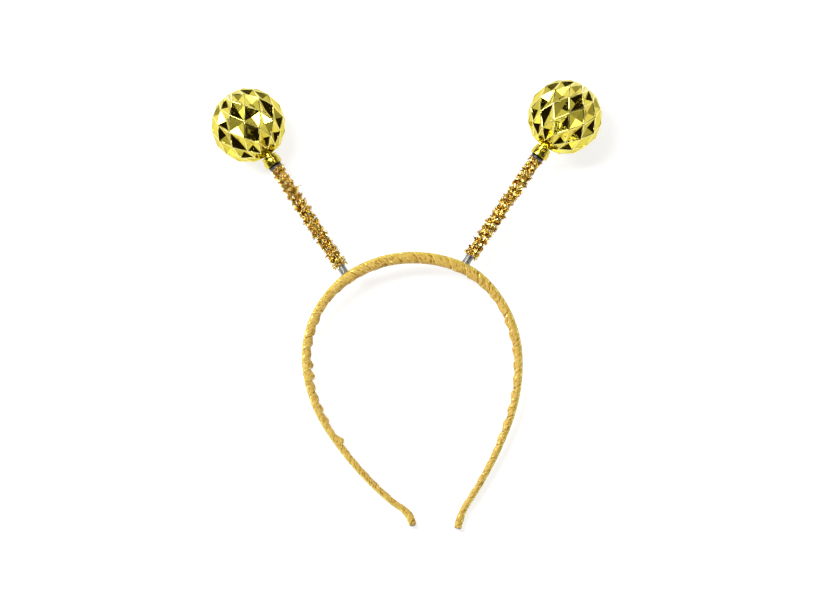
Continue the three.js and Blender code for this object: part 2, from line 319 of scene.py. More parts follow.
class Finish:
    """A material, built up node by node."""

    def __init__(self, name):
        self.material = bpy.data.materials.new(name)
        self.material.use_nodes = True
        self.tree = self.material.node_tree
        self.shader = self.tree.nodes["Principled BSDF"]

    @staticmethod
    def socket(sockets, key):
        shown = [socket for socket in sockets if socket.enabled]
        if isinstance(key, int):
            return shown[key]
        return next(socket for socket in shown if socket.name == key)

    def feed(self, socket, value):
        if isinstance(value, Signal):
            self.tree.links.new(value.socket, socket)
        elif socket.type == "RGBA":
            socket.default_value = (*value[:3], 1)
        else:
            socket.default_value = value

    def node(self, kind, settings=None, values=None, output=0):
        """Adds a node, sets it, feeds its sockets and gives one of its outputs."""
        made = self.tree.nodes.new(kind)
        for name, value in (settings or {}).items():
            if name == "stops":
                for stop in value[2:]:
                    made.color_ramp.elements.new(stop[0])
                for element, (position, tone) in zip(made.color_ramp.elements, value):
                    element.position = position
                    element.color = (*tone[:3], 1)
            else:
                setattr(made, name, value)
        for key, value in (values or {}).items():
            self.feed(self.socket(made.inputs, key), value)
        return Signal(self, self.socket(made.outputs, output))

    def object_place(self):
        return self.node("ShaderNodeTexCoord", output="Object")

    def noise(self, place, scale, detail=2, roughness=0.5):
        values = {"Vector": place, "Scale": scale, "Detail": detail, "Roughness": roughness}
        return self.node("ShaderNodeTexNoise", values=values)

    def mix(self, factor, first, second):
        values = {"Factor": factor, "A": first, "B": second}
        return self.node("ShaderNodeMix", {"data_type": "RGBA"}, values)

    def ramp(self, factor, stops):
        return self.node("ShaderNodeValToRGB", {"stops": stops}, {0: factor}, "Color")

    def step(self, value, low, high):
        """0 below low, 1 above high and smooth in between."""
        values = {"Value": value, "From Min": low, "From Max": high}
        return self.node("ShaderNodeMapRange", {"interpolation_type": "SMOOTHSTEP"}, values)

    def bump(self, height, distance):
        values = {"Height": height, "Distance": distance, "Strength": 1}
        return self.node("ShaderNodeBump", values=values)

    def attribute(self, name):
        return self.node("ShaderNodeAttribute", {"attribute_name": name}, output="Fac")

    def vector(self, operation, *terms):
        return self.node("ShaderNodeVectorMath", {"operation": operation}, dict(enumerate(terms)))

    def parts(self, vector):
        """The parts of a vector, such as its X and Y."""
        split = self.node("ShaderNodeSeparateXYZ", values={0: vector}).socket.node
        return [Signal(self, output) for output in split.outputs]

    def flakes(self, place, scale, tilt):
        """Flakes laid at random tilts: the normal that they give, and a random number for each."""
        values = {"Vector": place, "Scale": scale}
        cell = self.node("ShaderNodeTexVoronoi", values=values, output="Color")
        lean = self.vector("SUBTRACT", cell, (0.5, 0.5, 0.5))
        scaled = self.vector("MULTIPLY", lean, (tilt, tilt, tilt))
        normal = self.node("ShaderNodeNewGeometry", output="Normal")
        return self.vector("NORMALIZE", self.vector("ADD", normal, scaled)), self.parts(cell)[0]

    def surface(self, **values):
        """Sets or links the shader's own sockets, such as base_color."""
        for name, value in values.items():
            title = name.replace("_", " ").title().replace("Ior", "IOR")
            self.feed(self.shader.inputs[title], value)
        return self.material


def gold_finish(name, gold, worn, roughness):
    """Mirror-bright metallised plastic with a faint orange peel, dull specks and a painted highlight on the
    crests of the beads.
    """
    finish = Finish(name)
    place = finish.object_place()
    peel = finish.noise(place, 350, 3)
    cloud = finish.noise(place, 120, 3)
    specks = finish.step(finish.noise(place, 2600, 1), 0.66, 0.74)
    deep = tuple(channel * share for channel, share in zip(gold, (0.93, 0.86, 0.7)))
    clouded = finish.mix(finish.step(cloud, 0.4, 0.7), gold, deep)
    return finish.surface(
        # Painted highlight: the pale colour is laid where the bead crests are marked.
        base_color=finish.mix(finish.attribute("worn"), clouded, worn),
        metallic=1.0,
        roughness=roughness + cloud * 0.03 + specks * 0.12,
        normal=finish.bump(peel + specks * 0.1, 0.05 * MM),
        coat_weight=0.6,
        coat_roughness=0.03,
    )


def steel_finish(name, steel, grime):
    """Drawn spring wire with fine scratches, a slight tarnish, and painted shade that darkens the turns at
    the mouth, most of all under the collar.
    """
    finish = Finish(name)
    place = finish.object_place()
    tarnish = finish.noise(place, 300, 4)
    scratch = finish.noise(place, 5000, 2)
    dull = tuple(channel * 0.75 for channel in steel)
    wire = finish.mix(finish.step(tarnish, 0.5, 0.8), steel, dull)
    return finish.surface(
        # Painted shade: the wire is darkened at the mouth by the attribute set on those turns.
        base_color=finish.mix(finish.attribute("grime"), wire, grime),
        metallic=1.0,
        roughness=0.3 + scratch * 0.1,
        normal=finish.bump(scratch, 0.002 * MM),
    )


def foil_finish(name, colours):
    """Crinkled metallised foil. Each strip's own tone picks its colour."""
    finish = Finish(name)
    place = finish.object_place()
    crinkle = finish.noise(place, 1300, 2)
    stops = [(0.0, colours.dark), (0.4, colours.amber), (0.75, colours.yellow), (1.0, colours.pale)]
    return finish.surface(
        base_color=finish.ramp(finish.attribute("tone") + (crinkle - 0.5) * 0.3, stops),
        metallic=1.0,
        roughness=0.12 + crinkle * 0.12,
        normal=finish.bump(crinkle, 0.05 * MM),
    )


def ribbon_finish(name, ribbon):
    """A woven ribbon: matt tan ground, metallic yarns, bright selvedges and scattered glitter. Painted
    light: the side away from the head is lighter, with more glints, and the side towards it has a pinker
    rose ground; painted shade runs along the crease between the two sides and under each turn's edge.
    """
    finish = Finish(name)
    uv = finish.node("ShaderNodeUVMap", {"uv_map": "ribbon"})
    across, along, _ = finish.parts(uv)
    outer = finish.attribute("outer")
    thread = 2 * pi / ribbon.weave
    weave = (across * thread).sine() * (along * thread).sine()
    wear = finish.noise(uv, 260, 3)
    normal, flake = finish.flakes(finish.vector("MULTIPLY", uv, (1, 0.7, 1)), 1700, 0.5)
    selvedge = finish.step(across, ribbon.width * 0.1, ribbon.width * 0.03)
    ragged = across + (wear - 0.5) * ribbon.width * 0.1
    # Painted shadow under the edge of the next turn.
    shaded = finish.step(ragged, ribbon.width * 0.6, ribbon.width * 0.71)
    # Painted shade along the crease between the side away from the head and the side towards it.
    crease_shade = 1 - finish.step(abs(outer - 0.5), 0.1, 0.45)
    # Painted light: the side away from the head gets more glints.
    light = flake * 0.8 + weave * 0.14 + (wear - 0.5) * 0.5 + outer * 0.22 + selvedge * 0.2
    light = light - shaded * 0.2 - crease_shade * 0.14
    # Painted light: tan ground on the side away from the head, rose ground on the side towards it.
    ground = finish.mix(outer, ribbon.rose, ribbon.tan)
    threads = finish.mix(finish.step(light, 0.26, 0.02), ground, ribbon.shade)
    glitter = finish.step(light, 0.62, 0.92)
    return finish.surface(
        base_color=finish.mix(glitter, threads, ribbon.lurex),
        metallic=glitter * 0.7,
        roughness=0.5 - glitter * 0.22,
        normal=normal,
        specular_ior_level=0.25,
    )


def plastic_finish(name, plastic):
    """Moulded plastic with a dull skin."""
    finish = Finish(name)
    place = finish.object_place()
    grain = finish.noise(place, 1500, 3)
    dusty = tuple(channel * 0.75 for channel in plastic)
    return finish.surface(
        base_color=finish.mix(grain, plastic, dusty),
        roughness=0.42 + grain * 0.2,
        normal=finish.bump(grain, 0.01 * MM),
    )


# The band's middle line and sections


def smooth(share):
    """0 to 1, with a soft start and end."""
    share = min(max(share, 0), 1)
    return share * share * (3 - 2 * share)


def half_at(distance):
    """The half of the band at a distance from the crown, which is below zero on the left."""
    return HALVES["left" if distance < 0 else "right"]


def band_place(distance):
    """The middle line's point at a distance from the crown, and its heading there."""
    half = half_at(distance)
    x = y = heading = 0
    rest = abs(distance)
    for index, bend in enumerate(half.bends):
        whole = bend.share * half.length
        arc = rest if index == len(half.bends) - 1 else min(rest, whole)
        turn = radians(bend.turn) * arc / whole
        chord = arc * sin(turn / 2) / (turn / 2) if turn else arc
        x += half.side * chord * cos(heading + turn / 2)
        y -= chord * sin(heading + turn / 2)
        heading += turn
        rest -= arc
    return Vector((x, y, 0)), heading * half.side


def band_section(band, distance):
    """Half the band's thickness and half its depth at a distance from the crown."""
    half = half_at(distance)
    share = min(abs(distance) / half.length, 1)
    after = next(index for index, section in enumerate(SECTIONS) if section.at >= share)
    low, high = SECTIONS[max(after, 1) - 1], SECTIONS[max(after, 1)]
    mix = (share - low.at) / (high.at - low.at)
    thick = low.thick + (high.thick - low.thick) * mix
    deep = low.deep + (high.deep - low.deep) * mix
    return thick * band.thick / 2, deep * band.deep / 2


def band_point(band, distance, angle, lift):
    """A point on the band's face. Angle 0 is away from the head, and a quarter turn is the front."""
    thick, deep = band_section(band, distance)
    out = (abs(cos(angle)) / (thick + lift)) ** band.squareness
    front = (abs(sin(angle)) / (deep + lift)) ** band.squareness
    reach = (out + front) ** (-1 / band.squareness)
    middle, heading = band_place(distance)
    outward = Vector((sin(heading), cos(heading), 0))
    return middle + outward * reach * cos(angle) + Vector((0, 0, reach * sin(angle)))


def settling(band):
    """The move from the flat band to the one that lies at rest, from the head seat on its crown."""
    seat = frame["record"]["mounts"][0]
    to_tips = Vector(seat["axis"])
    crown = Vector(seat["pos_m"]) - to_tips * band.thick / 2
    return Matrix.Translation(crown) @ Matrix.Rotation(math.atan2(-to_tips.z, -to_tips.y), 4, "X")


# Antennas, from the frame


class Antenna:
    """One antenna's axis: local +Z runs up it from the spring's foot, and local +Y to the front."""

    def __init__(self, side, settle):
        self.side = side
        foot, top = self.middle("spring_"), self.middle("collar_")
        up = (top - foot).normalized()
        front = (settle.to_3x3() @ UP).normalized()
        turn = Matrix((front.cross(up), front, up)).transposed().to_4x4()
        self.matrix = Matrix.Translation(foot) @ turn
        self.matrix @= Matrix.Translation((0, 0, self.span("spring_")[0]))

    def corners(self, kind):
        """The distinct corners of one of the antenna's CAD nodes."""
        vertices = frame["nodes"][kind + self.side].data.vertices
        return {tuple(round(part, 7) for part in vertex.co) for vertex in vertices}

    def middle(self, kind):
        corners = self.corners(kind)
        return sum((Vector(corner) for corner in corners), Vector()) / len(corners)

    def span(self, kind):
        """The lowest and highest place of a CAD node along the axis."""
        inverse = self.matrix.inverted()
        heights = [(inverse @ Vector(corner)).z for corner in self.corners(kind)]
        return min(heights), max(heights)


# Making and dressing pieces


def plain_mesh(bm, name):
    """The mesh that a bmesh ends as."""
    mesh = bpy.data.meshes.new(name)
    bm.to_mesh(mesh)
    bm.free()
    return mesh


def make_piece(bm, name, material, replaced, smooth_faces=True):
    """Turns a bmesh into a piece that stands for CAD nodes and rides on the body."""
    return dress_mesh(plain_mesh(bm, name), name, material, replaced, smooth_faces)


def dress_mesh(mesh, name, material, replaced, smooth_faces=True):
    """Puts a finished mesh in the scene as a piece."""
    mesh.materials.append(material)
    mesh.polygons.foreach_set("use_smooth", [smooth_faces] * len(mesh.polygons))
    piece = bpy.data.objects.new(name, mesh)
    bpy.context.scene.collection.objects.link(piece)
    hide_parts(*replaced)
    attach(piece, BODY)
    return piece


def face_outwards(bm):
    bmesh.ops.remove_doubles(bm, verts=bm.verts, dist=SAME_PLACE)
    bmesh.ops.recalc_face_normals(bm, faces=bm.faces)


def grid_shares(bm, columns, rows):
    """A grid, and for each of its vertices its shares across and along."""
    made = bmesh.ops.create_grid(bm, x_segments=columns, y_segments=rows, size=1)
    return {vertex: ((vertex.co.x + 1) / 2, (vertex.co.y + 1) / 2) for vertex in made["verts"]}


def coil(radius, thickness, low, high, pitch, sides, steps):
    """A closed wire coiled round Z between two heights: one turn is spun, and its copies are joined."""
    count = round((high - low) / pitch)
    rise = (high - low) / count
    turn = bmesh.new()
    section = bmesh.ops.create_circle(turn, segments=sides, radius=thickness / 2)["verts"]
    upright = Matrix.Translation((radius, 0, low)) @ Matrix.Rotation(pi / 2, 4, "X")
    bmesh.ops.transform(turn, matrix=upright, verts=section)
    bmesh.ops.spin(
        turn, geom=section + list(turn.edges), cent=(0, 0, 0), axis=(0, 0, 1), dvec=(0, 0, rise / steps),
        angle=2 * pi, steps=steps, use_merge=False,
    )
    one_turn = plain_mesh(turn, "one_turn")
    places = [Matrix.Translation((0, 0, rise * number)) for number in range(count)]
    bm = bmesh.new()
    bm.from_mesh(gathered("turns", [(one_turn, places, [0] * count)]))
    bmesh.ops.remove_doubles(bm, verts=bm.verts, dist=SAME_PLACE)
    bmesh.ops.holes_fill(bm, edges=[edge for edge in bm.edges if edge.is_boundary], sides=sides)
    bmesh.ops.recalc_face_normals(bm, faces=bm.faces)
    return bm


def core_strip(settings):
    """The plastic strip inside the ribbon, rounded at its two ends."""
    band = settings.band
    columns, rows = 24, 220
    tip_rounding = 0.35 * MM
    bm = bmesh.new()
    left_end = -HALVES["left"].length - band.proud
    right_end = HALVES["right"].length + band.proud
    for vertex, (around, along) in grid_shares(bm, columns, rows).items():
        distance = left_end + (right_end - left_end) * along
        vertex.co = band_point(band, distance, 2 * pi * around, -band.inset)
    bmesh.ops.remove_doubles(bm, verts=bm.verts, dist=SAME_PLACE)
    ends = [edge for edge in bm.edges if edge.is_boundary]
    caps = bmesh.ops.holes_fill(bm, edges=ends, sides=columns + 1)["faces"]
    rims = list({edge for face in caps for edge in face.edges})
    bmesh.ops.bevel(
        bm, geom=rims, offset=tip_rounding, offset_type="OFFSET", segments=3, profile=0.5,
        affect="EDGES", material=-1,
    )
    face_outwards(bm)
    bmesh.ops.transform(bm, matrix=settling(band), verts=bm.verts)
    material = plastic_finish("core_plastic", band.plastic)
    return make_piece(bm, "core_strip", material, ["band_core"])


def wrap_starts(ribbon):
    """Where each turn of ribbon starts along the band, from beyond one tip to beyond the other."""
    before_left, past_right = 1.6 * ribbon.pitch, 2.2 * ribbon.pitch
    crowd_middle, crowd_reach = -0.5, 0.24
    closer_off_crown, crown_share = 0.12, 0.3
    starts = [-HALVES["left"].length - before_left]
    while starts[-1] < HALVES["right"].length + past_right:
        share = starts[-1] / HALVES["left"].length
        crowd = ribbon.crowding * math.exp(-(((share - crowd_middle) / crowd_reach) ** 2))
        slow = closer_off_crown * smooth(abs(share) / crown_share)
        starts.append(starts[-1] + ribbon.pitch * (1 - crowd - slow))
    return starts


def start_at(starts, turn):
    """The place along the band of a turn that needn't be a whole one."""
    number = min(int(turn), len(starts) - 2)
    return starts[number] + (starts[number + 1] - starts[number]) * (turn - number)


def loose_lift(start):
    """How far a turn stands out on the inner edge, as a share of the band's thickness."""
    half = half_at(start)
    share = start * half.side / half.length
    for row in LOOSE_TURNS:
        if HALVES[row.half] is half and row.start <= share < row.end:
            return row.lift
    return 0


def wound_ribbon(settings):
    """The ribbon, wound from tip to tip. Each turn's left edge lies on the turn before it."""
    band, ribbon = settings.band, settings.ribbon
    left, right = HALVES["left"].length, HALVES["right"].length
    columns, steps = 14, 32
    dip = 1.3 * MM
    wander, pucker_height, selvedge_height = 0.4 * MM, 0.05 * MM, 0.05 * MM
    on_last_turn, hem = 0.18, 0.07
    puff_top, puff_fall, edge_puff = 0.14, 0.46, 0.55
    outer_from, outer_blend = 0.12, 0.18
    tip_reach = 5 * ribbon.pitch
    starts = wrap_starts(ribbon)
    loose = []
    for start in starts:
        uneven = 1 + 0.5 * noise.noise(Vector((start / MM, 0, 0)))
        loose.append(loose_lift(start) * uneven * band.thick)
    turns = len(starts) - 2
    bm = bmesh.new()
    uv = bm.loops.layers.uv.new("ribbon")
    outer = bm.verts.layers.float.new("outer")
    places = grid_shares(bm, columns, steps * turns)
    for vertex, (across, along) in places.items():
        turn = turns * along
        angle = 2 * pi * turn
        start = start_at(starts, turn)
        pitch = start_at(starts, turn + 1) - start
        distance = start - ribbon.slant * pitch * sin(2 * angle) + (across - on_last_turn) * ribbon.width
        distance += wander * noise.noise(Vector((turn * 0.9, 0, 0)))
        lap = ribbon.lap * (1 - smooth((across * ribbon.width - pitch) / dip + 1))
        pucker = pucker_height * noise.noise(Vector((turn * 2.3, across * 3, sin(angle) * 2)))
        selvedge = selvedge_height * (smooth(1 - across / hem) + smooth((across - 1 + hem) / hem))
        stand = loose[int(turn)] * max(0, -cos(angle)) ** 2
        stand *= edge_puff + (1 - edge_puff) * smooth(across / puff_top)
        stand *= 1 - smooth((across - puff_top) / puff_fall)
        vertex.co = band_point(band, distance, angle, lap + pucker + selvedge)
        # How far each point faces away from the head; the finish paints that side lighter.
        vertex[outer] = smooth((cos(angle) - outer_from) / outer_blend)
        if stand:
            middle, _ = band_place(distance)
            vertex.co += (vertex.co - middle).normalized() * stand
    for face in bm.faces:
        for loop in face.loops:
            across, along = places[loop.vert]
            loop[uv].uv = (across * ribbon.width, along * ribbon.cut)
    for end, side in ((-left, -1), (right, 1)):
        point, heading = band_place(end)
        outward = Vector((cos(heading), -sin(heading), 0)) * side
        near = [vertex for vertex in bm.verts if (vertex.co - point).length < tip_reach]
        near = [vertex for vertex in near if (vertex.co.x - TIPS_PART_AT) * side > 0]
        edges = {edge for vertex in near for edge in vertex.link_edges}
        faces = {face for vertex in near for face in vertex.link_faces}
        bmesh.ops.bisect_plane(
            bm, geom=near + list(edges) + list(faces), dist=SAME_PLACE, plane_co=point, plane_no=outward,
            clear_outer=True,
        )
    bmesh.ops.recalc_face_normals(bm, faces=bm.faces)
    bmesh.ops.transform(bm, matrix=settling(band), verts=bm.verts)
    material = ribbon_finish("glitter_ribbon", ribbon)
    piece = make_piece(bm, "wound_ribbon", material, ["ribbon_wrap"])
    wall = piece.modifiers.new("Thickness", "SOLIDIFY")
    wall.thickness = ribbon.thickness
    wall.offset = -1
    return piece


def coil_spring(settings, antenna, material):
    """One close-wound spring, with widened turns at its mouth."""
    spring = settings.spring
    low, high = antenna.span("spring_")
    half_wire = spring.wire / 2
    close_pitch = spring.wire * 1.01
    bm = coil(
        spring.radius - half_wire, spring.wire, low + half_wire, high - half_wire, close_pitch,
        sides=8, steps=24,
    )
    collar_foot = antenna.span("collar_")[0]
    mouth = collar_foot - spring.mouth_shown
    widening = spring.mouth_radius - spring.radius
    # Painted shade: the widened turns at the mouth are darkened, and those close under the collar are
    # darkest.
    mouth_shade_share, collar_shade_share = 0.7, 0.3
    blackest_from, blackening = collar_foot - 1.1 * MM, 0.5 * MM
    grime = bm.verts.layers.float.new("grime")
    for vertex in bm.verts:
        height = vertex.co.z
        vertex[grime] = smooth((height - mouth) / spring.wire) * mouth_shade_share
        vertex[grime] += smooth((height - blackest_from) / blackening) * collar_shade_share
        flare = widening * smooth((height - mouth) / spring.wire * 2)
        vertex.co += Vector((vertex.co.x, vertex.co.y, 0)).normalized() * flare
    bmesh.ops.transform(bm, matrix=antenna.matrix, verts=bm.verts)
    name = "spring_" + antenna.side
    return make_piece(bm, "coil_" + name, material, [name])


def foil_strip(tip):
    """A unit strip along +Z with a square foot, narrowed at its tip to a share of its width."""
    corner = math.sqrt(0.5)
    bm = bmesh.new()
    bmesh.ops.create_cone(
        bm, cap_ends=True, segments=4, radius1=corner, radius2=corner * tip, depth=1,
        matrix=Matrix.Translation((0, 0, 0.5)) @ Matrix.Rotation(pi / 4, 4, "Z"),
    )
    return plain_mesh(bm, "foil_strip")


def gathered(name, groups):
    """One mesh of many copies. Each group is a shape, the places of its copies and a tone for each."""
    points, faces, tones = [], [], []
    start = 0
    for shape, places, shades in groups:
        corners = np.array([(*vertex.co, 1) for vertex in shape.vertices])
        copies = np.einsum("nij,vj->nvi", np.array(places), corners)[..., :3]
        points.append(copies.reshape(-1, 3))
        polygons = [tuple(polygon.vertices) for polygon in shape.polygons]
        for shade in shades:
            faces += [tuple(start + corner for corner in polygon) for polygon in polygons]
            tones += [shade] * len(polygons)
            start += len(corners)
    mesh = bpy.data.meshes.new(name)
    mesh.from_pydata(np.concatenate(points), [], faces)
    mesh.attributes.new("tone", "FLOAT", "FACE").data.foreach_set("value", tones)
    return mesh


def within(value, lowest, highest):
    """The value, kept between two others."""
    return min(max(value, lowest), highest)


def round_axis(angle):
    """The directions straight out from the axis and along its turning, at an angle round it."""
    return Vector((cos(angle), sin(angle), 0)), Vector((-sin(angle), cos(angle), 0))


def strip_place(garland, foot, direction, twist, width, reach):
    """The place, turn and size of one foil strip."""
    turn = direction.to_track_quat("Z", "X").to_matrix().to_4x4()
    size = Matrix.Diagonal((width, garland.strip_thickness, reach, 1))
    return Matrix.Translation(foot) @ turn @ Matrix.Rotation(twist, 4, "Z") @ size


def foil_garland(settings, antenna, material):
    """One garland: a thread wound round the spring, and tufts of foil strips that stand out all round."""
    garland, spring = settings.garland, settings.spring
    chance = random.Random(garland.seed + SIDES.index(antenna.side))
    margin = 0.5 * MM
    low, high = antenna.span("tinsel_")
    lowest, highest = low + margin, high - margin
    turns = round((high - low) / garland.pitch)
    count = (turns + 1) * garland.tufts
    tuft_reaches = (0.6, 0.8, 1, 1.2, 1.7)
    root_radius = spring.radius + 0.15 * MM
    root_width = garland.strip_width * 2.2
    places, tones, roots, root_tones = [], [], [], []
    for tuft in range(count):
        share = (tuft + chance.random()) / count
        turn = (turns + 1) * share - 0.5
        radial, tangent = round_axis(2 * pi * turn)
        height = low + (high - low) * within(turn / turns, 0, 1)
        paler_ends = 0.3 * smooth((abs(share - 0.5) - 0.4) / 0.1)
        fan = garland.spread * chance.uniform(-1, 1)
        lean = chance.gauss(0, 0.4)
        tuft_reach = garland.strip_length * chance.choice(tuft_reaches)
        tuft_tone = chance.gauss(0.4 + paler_ends, 0.36)
        aside = chance.gauss(0, garland.stray * garland.pitch)
        foot = radial * garland.thread_radius + UP * within(height + aside, lowest, highest)
        for _ in range(garland.strips):
            own_fan = fan + chance.gauss(0, 0.3)
            direction = radial * cos(own_fan) + UP * sin(own_fan)
            direction += tangent * (lean + chance.gauss(0, 0.25))
            reach = tuft_reach * chance.uniform(0.5, 1)
            width = garland.strip_width * chance.uniform(0.6, 1.2)
            twist = chance.uniform(0, 2 * pi)
            places.append(strip_place(garland, foot, direction, twist, width, reach))
            # Painted highlight: strips that fan out sideways, into the gaps between turns, are paler; those
            # that stand straight out are a little darker.
            glint_aside = 0.4 * (abs(own_fan) / garland.spread - 0.3)
            tones.append(within(chance.gauss(tuft_tone, 0.12) + glint_aside, 0, 1))
        for _ in range(garland.roots):
            off_turn = chance.uniform(-0.5, 0.5)
            aside = garland.pitch * off_turn
            foot = radial * root_radius + UP * within(height + aside, lowest, highest)
            direction = radial * 0.2 + UP * chance.uniform(-1, 1) + tangent * chance.uniform(-1, 1)
            reach = garland.strip_length * chance.uniform(0.4, 0.7)
            roots.append(strip_place(garland, foot, direction, 0, root_width, reach))
            # Painted shade and highlight: roots are dark as shade under the tufts, and paler between the
            # turns.
            glint_between = 0.7 * smooth(3 * abs(off_turn) - 0.5)
            root_tones.append(chance.uniform(0, 0.25) + glint_between)
    for stray in STRAYS:
        if stray.side == antenna.side:
            radial, _ = round_axis(radians(stray.turn))
            foot = radial * garland.thread_radius + UP * (low + (high - low) * stray.at)
            direction = radial + UP * chance.uniform(-0.35, -0.1)
            reach = garland.strip_length * stray.reach
            places.append(strip_place(garland, foot, direction, 0, garland.strip_width, reach))
            tones.append(chance.uniform(0.1, 0.5))
    rise = (highest - lowest) / turns
    thread = coil(garland.thread_radius, garland.thread, lowest, highest, rise, sides=6, steps=20)
    thread_tone = 0.2
    name = "tinsel_" + antenna.side
    mesh = gathered("foil_" + name, [
        (foil_strip(0.4), places, tones),
        (foil_strip(0), roots, root_tones),
        (plain_mesh(thread, "garland_thread"), [Matrix()], [thread_tone]),
    ])
    clear = spring.radius + 0.06 * MM
    for vertex in mesh.vertices:
        out = Vector((vertex.co.x, vertex.co.y, 0))
        if out.length < clear:
            vertex.co += out.normalized() * (clear - out.length)
    mesh.transform(antenna.matrix)
    return dress_mesh(mesh, "foil_" + name, material, [name], smooth_faces=False)


def gold_collar(settings, antenna, material):
    """One collar: a stem in the ball's neck, an upper ring, a groove and a bored flange."""
    collar = settings.collar
    low, high = antenna.span("collar_")
    pole = antenna.span("ball_")[1] - 2 * settings.ball.radius
    tier = low + collar.flange_height + collar.groove_height
    profile = (
        (0, low + collar.bore_depth),
        (collar.bore_radius, low + collar.bore_depth),
        (collar.bore_radius, low),
        (collar.flange_radius, low),
        (collar.flange_radius, low + collar.flange_height),
        (collar.groove_radius, low + collar.flange_height),
        (collar.groove_radius, tier),
        (collar.tier_radius, tier),
        (collar.tier_radius, tier + collar.tier_height),
        (collar.stem_radius, pole),
        (collar.stem_radius, high),
        (0, high),
    )
    bm = bmesh.new()
    chain = [bm.verts.new((radius, 0, height)) for radius, height in profile]
    edges = [bm.edges.new(pair) for pair in zip(chain, chain[1:])]
    bmesh.ops.spin(
        bm, geom=chain + edges, cent=(0, 0, 0), axis=(0, 0, 1), angle=2 * pi, steps=64, use_merge=True
    )
    face_outwards(bm)
    sharp = radians(40)
    rings = [edge for edge in bm.edges if edge.calc_face_angle(0) > sharp]
    bmesh.ops.bevel(
        bm, geom=rings, offset=collar.rounding, offset_type="OFFSET", segments=3, profile=0.5,
        affect="EDGES", material=-1, clamp_overlap=True,
    )
    bmesh.ops.transform(bm, matrix=antenna.matrix, verts=bm.verts)
    name = "collar_" + antenna.side
    return make_piece(bm, "gold_" + name, material, [name])


def faceted_ball(settings, antenna, material):
    """One hollow ball, its flat facets parted by narrow raised beads along its ridges."""
    ball = settings.ball
    name = "ball_" + antenna.side
    bm = bmesh.new()
    bm.from_mesh(frame["nodes"][name].data)
    worn = bm.verts.layers.float.new("worn")
    bmesh.ops.remove_doubles(bm, verts=bm.verts, dist=SAME_PLACE)
    centre = antenna.matrix @ Vector((0, 0, antenna.span("ball_")[1] - ball.radius))
    ridge_height = ball.radius - 0.05 * MM
    flat_angle = 0.05
    outer = {vertex for vertex in bm.verts if (vertex.co - centre).length > ridge_height}
    ridges = [edge for edge in bm.edges if set(edge.verts) <= outer and edge.calc_face_angle(0) > flat_angle]
    ribs = set(bmesh.ops.bevel(
        bm, geom=ridges, offset=ball.ridge, offset_type="OFFSET", segments=4, profile=0.5,
        affect="EDGES", material=-1, clamp_overlap=True,
    )["faces"])
    # The crest of each bead is raised and marked for the painted highlight.
    for vertex in {vertex for face in ribs for vertex in face.verts}:
        if set(vertex.link_faces) <= ribs:
            vertex.co += (vertex.co - centre).normalized() * ball.bead
            vertex[worn] = 1
    for edge in bm.edges:
        edge.smooth = set(edge.link_faces) <= ribs
    return make_piece(bm, "faceted_" + name, material, [name])


# Stage


def pale_floor(stage):
    """A plain pale floor under the bopper."""
    bm = bmesh.new()
    bmesh.ops.create_grid(bm, x_segments=1, y_segments=1, size=stage.floor_size / 2)
    mesh = plain_mesh(bm, "floor")
    finish = Finish("pale_floor")
    mesh.materials.append(finish.surface(
        base_color=stage.floor, roughness=0.9, specular_ior_level=0.1, emission_color=(1, 1, 1),
        emission_strength=stage.floor_glow,
    ))
    floor = bpy.data.objects.new("floor", mesh)
    bpy.context.scene.collection.objects.link(floor)


def sight(settings):
    """The camera's line of sight: +Z runs from the middle of the picture to the camera."""
    middle = Matrix.Translation((-3.5 * MM, -25.5 * MM, 0))
    return settling(settings.band) @ middle @ Matrix.Rotation(settings.stage.tilt, 4, "X")


def soft_lights(settings):
    """Soft boxes overhead, each turned to the bopper."""
    stage = settings.stage
    watts_per_glow = 4
    for number, box in enumerate(SOFT_BOXES):
        light = bpy.data.lights.new(f"soft_box_{number}", "AREA")
        light.shape = "RECTANGLE"
        light.size = 2 * stage.light_distance * math.tan(radians(box.width / 2))
        light.size_y = 2 * stage.light_distance * math.tan(radians(box.height / 2))
        light.energy = watts_per_glow * box.glow * light.size * light.size_y
        lamp = bpy.data.objects.new(light.name, light)
        angle = radians(math.hypot(box.right, box.up))
        away = Matrix.Rotation(angle, 4, Vector((-box.up, box.right, 0)))
        reach = Matrix.Translation((0, 0, stage.light_distance))
        lamp.matrix_world = sight(settings) @ away @ reach
        lamp.visible_camera = False
        bpy.context.scene.collection.objects.link(lamp)


def white_room():
    """World light that is white at the horizon and falls off to a dark ceiling."""
    walls_end, ceiling_from = 0.05, 0.3
    ceiling = (0.016, 0.011, 0.008, 1)
    world = bpy.data.worlds.new("room")
    bpy.context.scene.world = world
    world.use_nodes = True
    nodes, links = world.node_tree.nodes, world.node_tree.links
    place = nodes.new("ShaderNodeTexCoord")
    split = nodes.new("ShaderNodeSeparateXYZ")
    fall = nodes.new("ShaderNodeValToRGB")
    fall.color_ramp.elements[0].position = walls_end
    fall.color_ramp.elements[0].color = (1, 1, 1, 1)
    fall.color_ramp.elements[1].position = ceiling_from
    fall.color_ramp.elements[1].color = ceiling
    links.new(place.outputs["Generated"], split.inputs[0])
    links.new(split.outputs["Z"], fall.inputs[0])
    links.new(fall.outputs[0], nodes["Background"].inputs["Color"])
    nodes["Background"].inputs["Strength"].default_value = 1.05


def photo_camera(settings):
    """The camera looks down at the band as it lies, from a little to the tips' side."""
    stage = settings.stage
    scene = bpy.context.scene
    data = bpy.data.cameras.new("camera")
    data.lens = stage.lens
    camera = bpy.data.objects.new("camera", data)
    scene.collection.objects.link(camera)
    scene.camera = camera
    distance = stage.frame_width * data.lens / data.sensor_width
    camera.matrix_world = sight(settings) @ Matrix.Translation((0, 0, distance))
    data.clip_end = stage.floor_size
    scene.view_settings.view_transform = "Standard"


# Operators


